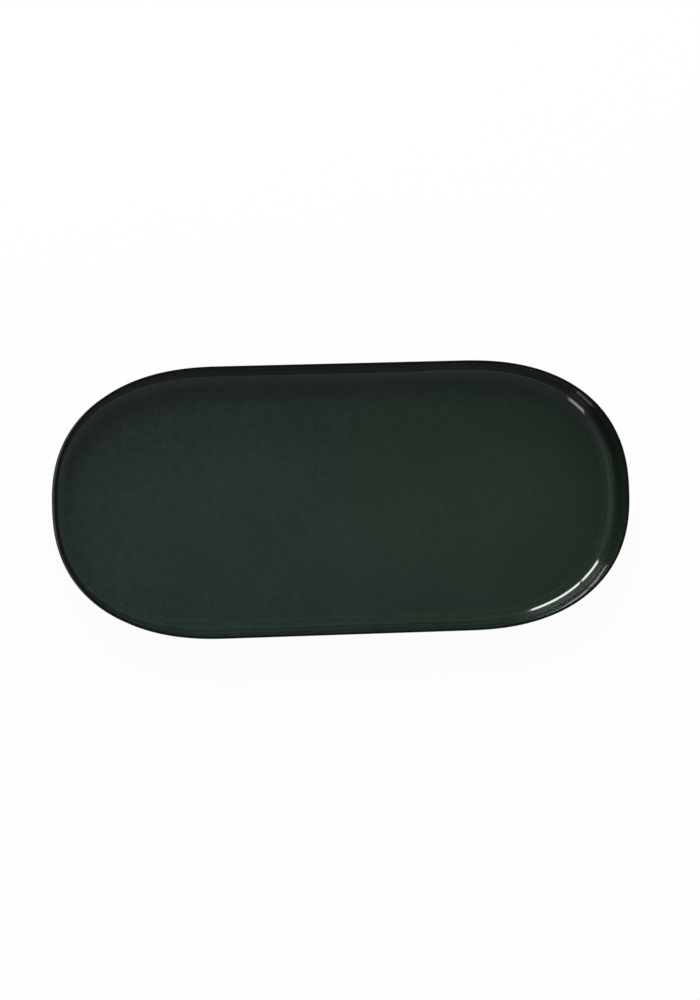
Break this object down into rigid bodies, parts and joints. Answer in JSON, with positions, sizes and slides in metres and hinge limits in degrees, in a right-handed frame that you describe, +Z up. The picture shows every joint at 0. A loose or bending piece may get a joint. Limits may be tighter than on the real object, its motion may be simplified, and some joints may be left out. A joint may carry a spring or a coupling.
{
  "type": "serving tray",
  "caption": "Oval serving tray with straight long sides, full rounded ends, a low wall that leans outwards and a thin plain rim, in dark green enamelled steel on small rubber feet.",
  "frame": {"origin": "on the table, under the middle of the tray", "axes": "+X along the tray's length, +Y across it towards the rear, +Z up"},
  "size_m": [0.3, 0.1364, 0.02],
  "materials": {
    "enamel": "glossy dark green vitreous enamel",
    "rubber": "matt moulded black rubber",
    "adhesive": "milky acrylic adhesive"
  },
  "bodies": {
    "root": {"tray_shell": "enamel", "foot_front_left": "rubber", "foot_front_right": "rubber", "foot_rear_left": "rubber", "foot_rear_right": "rubber", "foot_disc_front_left": "adhesive", "foot_disc_front_right": "adhesive", "foot_disc_rear_left": "adhesive", "foot_disc_rear_right": "adhesive"}
  },
  "joints": []
}
